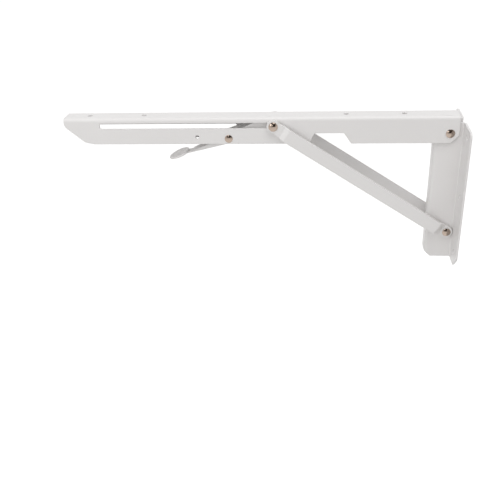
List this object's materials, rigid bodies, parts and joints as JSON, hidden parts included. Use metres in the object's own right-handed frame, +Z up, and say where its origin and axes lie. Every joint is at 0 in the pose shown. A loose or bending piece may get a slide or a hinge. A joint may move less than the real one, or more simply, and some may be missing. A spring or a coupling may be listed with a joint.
{
  "type": "folding shelf bracket",
  "caption": "Folding shelf bracket: channel arm with a slot, cranked strut bars, hat-section wall plate and a sprung release lever.",
  "frame": {"origin": "middle of the six wall screw holes, on the wall plane", "axes": "+X into the wall, the arm reaches out along -X; +Z up; Y = 0 is the middle plane"},
  "size_m": [0.401, 0.08, 0.1555],
  "materials": {
    "white_coat": "white powder coat, satin",
    "nickel_steel": "nickel-plated steel, polished domes",
    "plain_steel": "plain turned steel",
    "nylon": "natural nylon",
    "spring_steel": "drawn spring wire"
  },
  "bodies": {
    "wall": {"wall_plate": "white_coat", "arm_pivot_rivet": "nickel_steel", "arm_pivot_spacer": "plain_steel", "arm_pivot_washer_near": "nylon", "arm_pivot_washer_far": "nylon", "strut_pivot_rivet": "nickel_steel", "strut_pivot_spacer": "plain_steel", "strut_pivot_washer_near": "nylon", "strut_pivot_washer_far": "nylon"},
    "arm": {"arm": "white_coat", "lever_pivot_rivet": "nickel_steel", "lever_bush": "plain_steel"},
    "pin": {"slot_pin_near": "nickel_steel", "slot_pin_far": "nickel_steel", "slot_washer_near": "nylon", "slot_washer_far": "nylon"},
    "strut": {"strut_bar_near": "white_coat", "strut_bar_far": "white_coat", "slot_pin_head_near": "nickel_steel", "slot_pin_head_far": "nickel_steel"},
    "lever": {"release_lever": "white_coat", "lever_spring": "spring_steel"}
  },
  "joints": [
    {"name": "arm_fold", "type": "hinge", "parent": "wall", "child": "arm", "pos_m": [-0.015, 0, 0.0613], "axis": [0, -1, 0], "range_deg": [0, 90]},
    {"name": "strut_swing", "type": "hinge", "parent": "wall", "child": "strut", "pos_m": [-0.0085, 0, -0.0465], "axis": [0, -1, 0], "range_deg": [0, 119.03]},
    {"name": "pin_slide", "type": "slide", "parent": "arm", "child": "pin", "axis": [-1, 0, 0], "range_m": [0, 0.14865]},
    {"name": "lever_squeeze", "type": "hinge", "parent": "arm", "child": "lever", "pos_m": [-0.2323, 0, 0.057], "axis": [0, 1, 0], "range_deg": [0, 12], "stiffness_Nm_per_rad": 1, "springref_deg": -17.19}
  ],
  "couplings": [
    {"joint": "strut_swing", "follows": "arm_fold", "ratio": 1.3225},
    {"joint": "pin_slide", "follows": "arm_fold", "m_per_rad": 0.094633}
  ]
}
